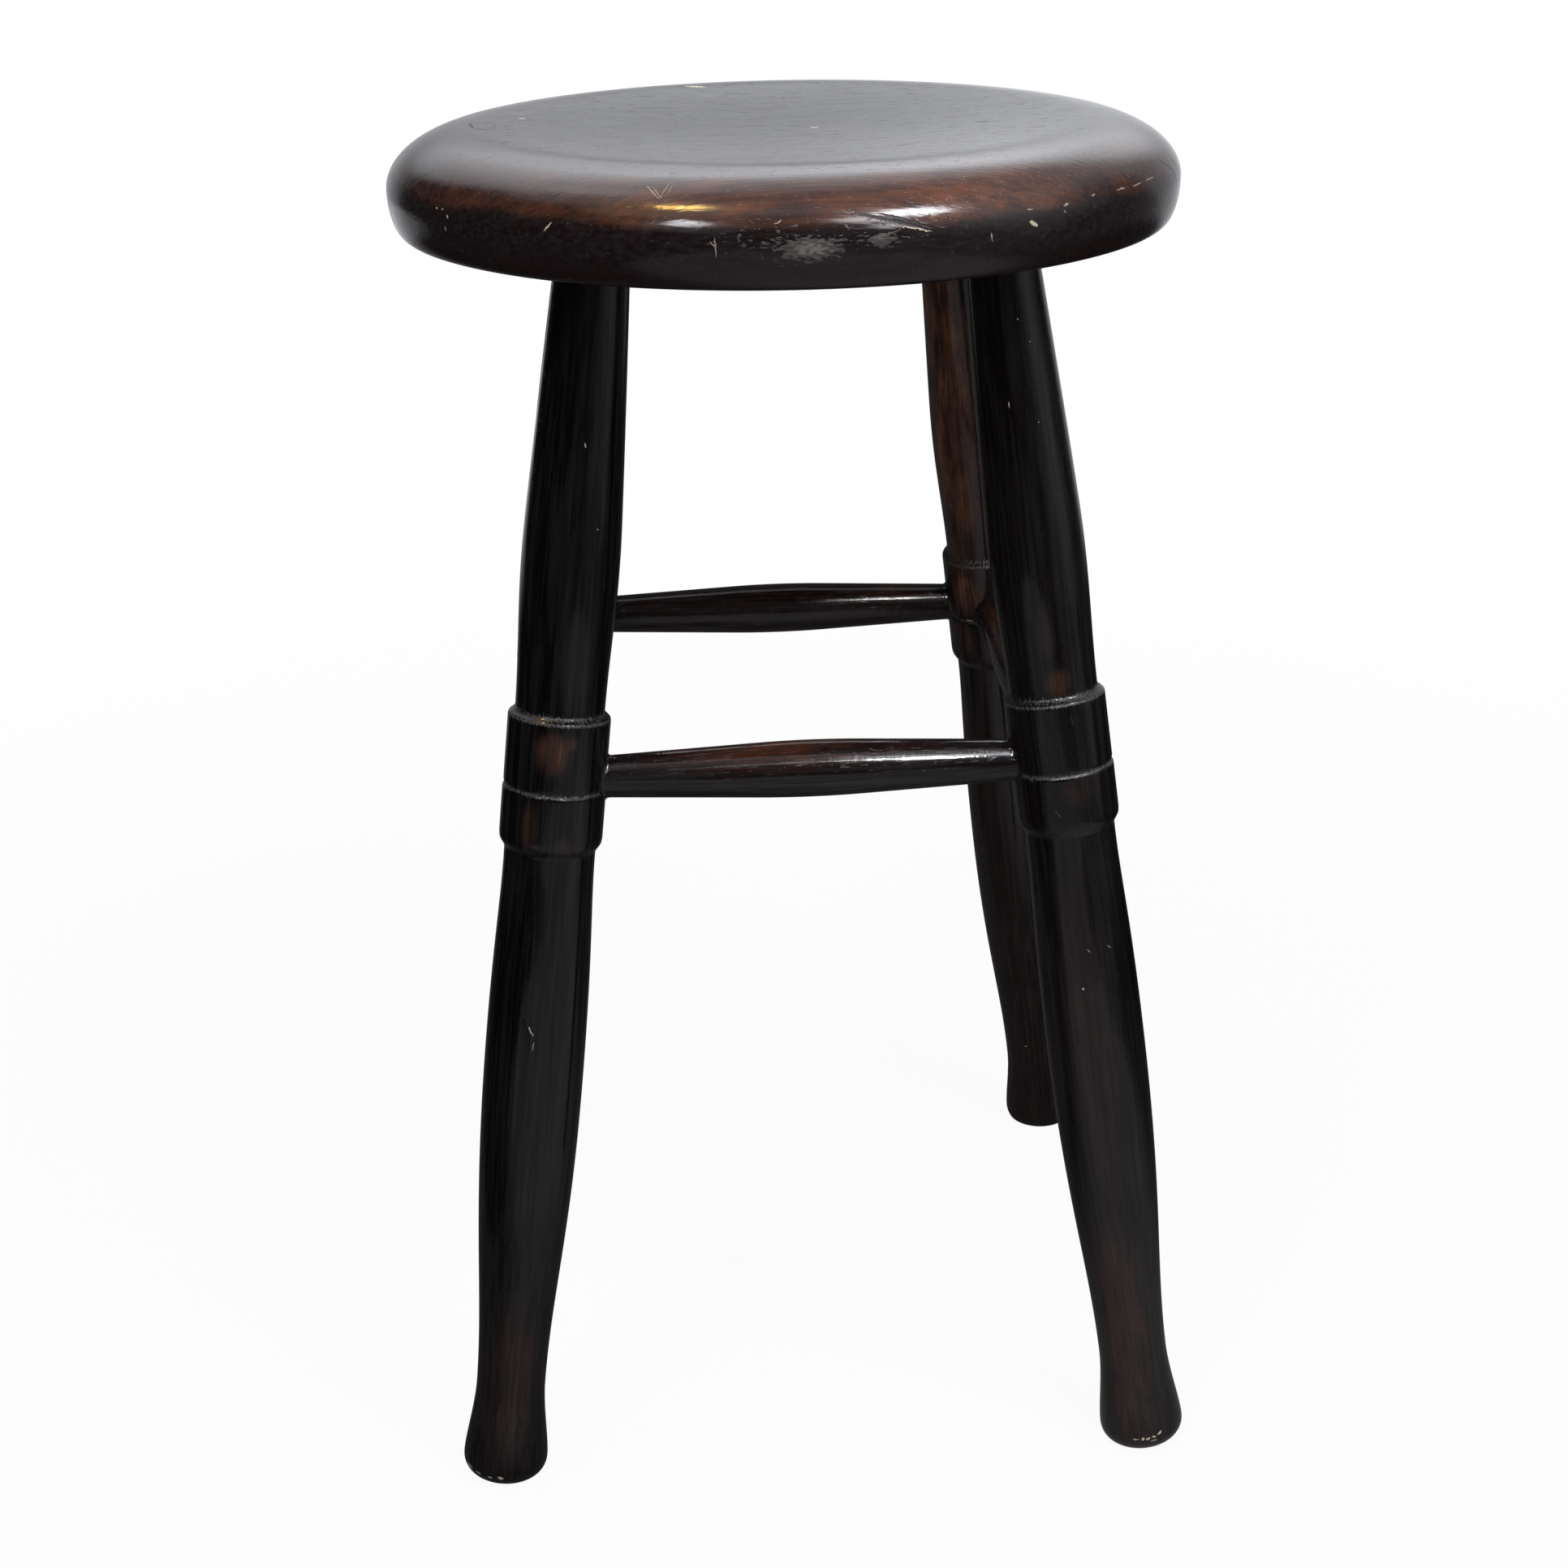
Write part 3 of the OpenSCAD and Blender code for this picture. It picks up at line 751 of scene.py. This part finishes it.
# Matt white paper. The camera sees it glow plain white, with a little of the real shade near the stool
floor = stage_plane("floor", 60, 0)
paper = bpy.data.materials.new("white_paper")
paper.use_nodes = True
tree = paper.node_tree
tree.nodes.clear()
seen = seen_rays(tree)
place = add(tree, "ShaderNodeTexCoord").outputs["Object"]
away = add(tree, "ShaderNodeVectorMath", {0: place}, operation="LENGTH").outputs["Value"]
lift = add(
    tree,
    "ShaderNodeMapRange",
    {"Value": away, "From Min": 0.3, "From Max": 1.6, "To Min": 0.93, "To Max": 1.0},
    interpolation_type="SMOOTHSTEP",
).outputs["Result"]
share = add(tree, "ShaderNodeMath", {0: seen, 1: lift}, operation="MULTIPLY").outputs[0]
matt = add(tree, "ShaderNodeBsdfDiffuse", {"Color": linear("#f2f2f2")}).outputs[0]
white = add(tree, "ShaderNodeEmission", {"Color": linear("#ffffff"), "Strength": 1.0}).outputs[0]
both = add(tree, "ShaderNodeMixShader", {0: share, 1: matt, 2: white}).outputs[0]
add(tree, "ShaderNodeOutputMaterial", {"Surface": both})
floor.data.materials.append(paper)

# The world is white to the camera and in reflections, and half as bright where it only lights
world = bpy.data.worlds.new("studio")
scene.world = world
world.use_nodes = True
tree = world.node_tree
tree.nodes.clear()
fill = add(tree, "ShaderNodeBackground", {"Color": linear("#ffffff"), "Strength": 0.5}).outputs[0]
white = add(tree, "ShaderNodeBackground", {"Color": linear("#ffffff"), "Strength": 1.0}).outputs[0]
both = add(tree, "ShaderNodeMixShader", {0: seen_rays(tree), 1: fill, 2: white}).outputs[0]
add(tree, "ShaderNodeOutputWorld", {"Surface": both})

# What the lacquer mirrors: a dim room with a window behind the stool, a pale ceiling, a window on each
# side behind the camera, a warm lamp and pools of light on the floor. Only reflections see it, like the
# black cloths and white cards that give a glossy thing its shape in a studio.
room_radius = 20
rows, columns = 30, 60
points = []
for i in range(rows + 1):
    climb = math.pi / 2 * i / rows
    out, height = room_radius * math.cos(climb), room_radius * math.sin(climb)
    for j in range(columns):
        turn = 2 * math.pi * j / columns
        points.append([out * math.cos(turn), out * math.sin(turn), height])
faces = []
for i in range(rows):
    for j in range(columns):
        k = (j + 1) % columns
        faces.append([i * columns + j, i * columns + k, (i + 1) * columns + k, (i + 1) * columns + j])
room_mesh = bpy.data.meshes.new("room")
room_mesh.from_pydata(points, [], faces)
room = bpy.data.objects.new("room", room_mesh)
scene.collection.objects.link(room)
cloth = stage_plane("floor_cloth", 2 * room_radius, 0.0004)
room_middle = (0, 0, 0.58)
room_glow = 0.05
shown_through_black = 0.15


def cards_on(tree, place, total, cards):
    """Adds soft round cards to a glow. A card is its middle, radius, softness, glow and colour. One with
    no glow is black, and hides most of the cards before it."""
    for middle, radius, soft, glow, colour in cards:
        apart = {0: place, 1: middle}
        off = add(tree, "ShaderNodeVectorMath", apart, operation="DISTANCE").outputs["Value"]
        edge = {"Value": off, "From Min": radius + soft, "From Max": radius - soft}
        if not glow:
            edge |= {"To Min": 1.0, "To Max": shown_through_black}
        edge = add(tree, "ShaderNodeMapRange", edge, interpolation_type="SMOOTHSTEP").outputs["Result"]
        if glow:
            shade = [glow * channel for channel in linear(colour)[:3]]
            lit = {0: edge, 1: shade, 2: total}
            total = add(tree, "ShaderNodeVectorMath", lit, operation="MULTIPLY_ADD").outputs[0]
        else:
            hidden = {0: total, "Scale": edge}
            total = add(tree, "ShaderNodeVectorMath", hidden, operation="SCALE").outputs[0]
    return total


def mirrored(thing, far_cards, near_cards):
    """A surface that only reflections see. Far cards are ways from the seat, near ones are places."""
    material = bpy.data.materials.new("glow_of_" + thing.name)
    material.use_nodes = True
    tree = material.node_tree
    tree.nodes.clear()
    place = add(tree, "ShaderNodeTexCoord").outputs["Object"]
    way = add(tree, "ShaderNodeVectorMath", {0: place, 1: room_middle}, operation="SUBTRACT").outputs[0]
    way = add(tree, "ShaderNodeVectorMath", {0: way}, operation="NORMALIZE").outputs[0]
    dim = {"X": room_glow, "Y": room_glow, "Z": room_glow}
    total = add(tree, "ShaderNodeCombineXYZ", dim).outputs[0]
    total = cards_on(tree, way, total, far_cards)
    total = cards_on(tree, place, total, near_cards)
    glow = add(tree, "ShaderNodeEmission", {"Color": total, "Strength": 1.0}).outputs[0]
    add(tree, "ShaderNodeOutputMaterial", {"Surface": glow})
    thing.data.materials.append(material)
    thing.visible_camera = thing.visible_diffuse = thing.visible_shadow = False
    thing.visible_transmission = thing.visible_volume_scatter = False


def card(azimuth, elevation, radius, soft, glow, colour="#f7f9ff"):
    """A card on the room, with its angles in degrees. Azimuth 0 is behind the stool, 90 to its right."""
    a, e = math.radians(azimuth), math.radians(elevation)
    middle = (math.sin(a) * math.cos(e), math.cos(a) * math.cos(e), math.sin(e))
    radius, soft = 2 * math.sin(math.radians(radius) / 2), 2 * math.sin(math.radians(soft) / 2)
    return middle, radius, soft, glow, colour


# A window behind the stool with the wall round it, the ceiling, a broad glow from the right, a bright
# patch over the window, and a dark wall on the left that hides most of what comes before it
room_cards = [
    card(19, 24, 12.5, 6.6, 0.98),
    card(9, -7, 14, 6, 0.1),
    card(7, -2, 30, 35, 0.6),
    card(21, 69, 42, 10, 0.55),
    card(114, 36, 15.5, 35, 1.4),
    card(-2.5, 36, 6, 18.6, 2.0),
    card(-97, 10, 62, 3, 0),
]
# Fainter light on the crest of the seat and on its two ends
room_cards += [
    card(-9, 40, 27, 5, 0.7),
    card(-28, 50, 15, 5, 0.3),
    card(-50, 57, 12, 6, 0.6),
    card(-22, -4, 12, 5, 0.12),
    card(178, 68, 17, 1.5, 0.25),
    card(32, 6, 26, 3, 0.2),
    card(109, -4, 10, 1.5, 0.15),
    card(132, -4, 20, 10, 0.1),
]
# The window behind the camera on the right and the one on the left, each with its glow
room_cards += [
    card(132, 56, 13, 5, 1.2),
    card(130, 57, 8.0, 1.4, 26),
    card(154, 51, 7, 2, 10),
    card(150, 33, 6, 2, 8),
    card(-146, 40, 12, 6, 0.5),
    card(-130, 62, 9, 4, 0.5),
    card(-143, 46, 5.5, 0.8, 13),
    card(-141.5, 51, 2.2, 0.6, 22),
]
# A warm ceiling lamp on the left, with its glow
room_cards += [
    card(-98, 67, 14, 5, 0.8, "#ffe2b0"),
    card(-92, 71.5, 1.8, 0.5, 65, "#ffca70"),
    card(-98, 74, 2.0, 0.5, 65, "#ffca70"),
    card(-98, 77, 1.5, 0.5, 30, "#ffd48a"),
]
mirrored(room, room_cards, [])

# Near the stool: a dark patch behind it on the right, and pools of light behind it and before it
floor_cards = [
    ((1.0, 0.7, 0), 0.8, 0.3, 0, "#000000"),
    ((-1.4, 2.2, 0), 0.9, 0.3, 0.35, "#f7f9ff"),
    ((0.3, -0.75, 0), 0.62, 0.16, 0.28, "#f7f9ff"),
    ((-0.1, -1.5, 0), 1.0, 0.12, 0, "#000000"),
    ((-0.1, -1.5, 0), 1.0, 0.12, 0.24, "#f7f9ff"),
]
mirrored(cloth, room_cards, floor_cards)

# A black cloth hangs close behind the stool, below its seat; seen only in reflections, it paints the rods'
# dark edges
left, right, low, high, behind = -0.2, 0.24, 0.02, 0.56, 0.22
corners = [(left, behind, low), (right, behind, low), (right, behind, high), (left, behind, high)]
black_mesh = bpy.data.meshes.new("black_cloth")
black_mesh.from_pydata(corners, [], [(0, 1, 2, 3)])
black_cloth = bpy.data.objects.new("black_cloth", black_mesh)
scene.collection.objects.link(black_cloth)
mirrored(black_cloth, [], [])


# Three soft boxes give the light that falls on the stool. The lacquer does not mirror them.
lamp_distance, lamp_aim = 2.2, 0.55


def lamp(name, azimuth, elevation, wide, tall, power, colour):
    """A soft box aimed at the seat. Angles are in degrees, azimuth 0 is behind the stool."""
    light = bpy.data.lights.new(name, "AREA")
    light.shape = "RECTANGLE"
    light.size, light.size_y = wide, tall
    light.energy = power
    light.color = linear(colour)[:3]
    a, e = math.radians(azimuth), math.radians(elevation)
    way = np.array([math.sin(a) * math.cos(e), math.cos(a) * math.cos(e), math.sin(e)])
    box = bpy.data.objects.new(name, light)
    box.location = way * lamp_distance + np.array([0, 0, lamp_aim])
    box.rotation_euler = Vector(way).to_track_quat("Z", "Y").to_euler()
    box.visible_glossy = False
    scene.collection.objects.link(box)


lamp("window_right", 142, 48, wide=0.9, tall=0.5, power=20, colour="#f6f8ff")
lamp("window_left", -146, 48, wide=0.35, tall=0.7, power=9, colour="#eef4ff")
lamp("warm_lamp", -140, 74, wide=0.6, tall=0.15, power=6, colour="#ffd9a0")

# Two rows of small lamps lower than the seat, one before it and one under it, make the broken highlights
# on the front and back rods. Their beams are narrow, so that the legs do not mirror them. Each is its
# place to the right and back, width and height in millimetres, and its glow.
rod_lamp_height, rod_lamp_spread = 507, math.radians(50)
rod_lamp_way = Vector((0.1, -0.61, 0.78))
rod_lamps = [
    (-20, -283, 100, 4, 1.2),
    (51, -283, 37, 4, 5),
    (69.5, -283, 4.0, 10, 25),
    (79.5, -283, 3.4, 10, 40),
    (83.3, -283, 1.6, 8, 30),
    (91.1, -283, 6.0, 12, 55),
    (96.8, -283, 2.4, 15, 50),
    (101.4, -283, 1.6, 16, 45),
    (104.6, -283, 2.0, 14, 50),
    (110.9, -283, 6.6, 16, 55),
    (82, -56, 9, 10, 6),
    (93, -56, 4, 14, 18),
    (100, -56, 3, 16, 22),
    (106, -56, 3, 14, 16),
    (114, -56, 7, 12, 10),
]
for x, y, wide, tall, glow in rod_lamps:
    light = bpy.data.lights.new("rod_lamp", "AREA")
    light.shape = "RECTANGLE"
    light.size, light.size_y = wide * MM, tall * MM
    light.spread = rod_lamp_spread
    light.energy = glow * math.pi * wide * tall * MM * MM
    box = bpy.data.objects.new("rod_lamp", light)
    box.location = (x * MM, y * MM, rod_lamp_height * MM)
    box.rotation_euler = rod_lamp_way.to_track_quat("Z", "Y").to_euler()
    box.visible_camera = box.visible_diffuse = False
    scene.collection.objects.link(box)

# The camera of the photograph, worked out from the outline of the seat, the legs, collars and feet
camera_place = [-0.0715, -1.1451, 0.7583]
yaw, pitch, roll = math.radians(3.323), math.radians(22.48), math.radians(-1.121)
camera_data = bpy.data.cameras.new("camera")
camera = bpy.data.objects.new("camera", camera_data)
scene.collection.objects.link(camera)
scene.camera = camera
camera_data.sensor_width = 36
camera_data.lens = 57.26
camera_data.clip_end = 200
look = np.array([math.sin(yaw) * math.cos(pitch), math.cos(yaw) * math.cos(pitch), -math.sin(pitch)])
rightward = np.array([math.cos(yaw), -math.sin(yaw), 0])
upward = np.cross(rightward, look)
rightward, upward = (
    math.cos(roll) * rightward + math.sin(roll) * upward,
    math.cos(roll) * upward - math.sin(roll) * rightward,
)
matrix = np.eye(4)
matrix[:3, 0], matrix[:3, 1], matrix[:3, 2] = rightward, upward, -look
matrix[:3, 3] = camera_place
camera.matrix_world = Matrix(matrix.tolist())
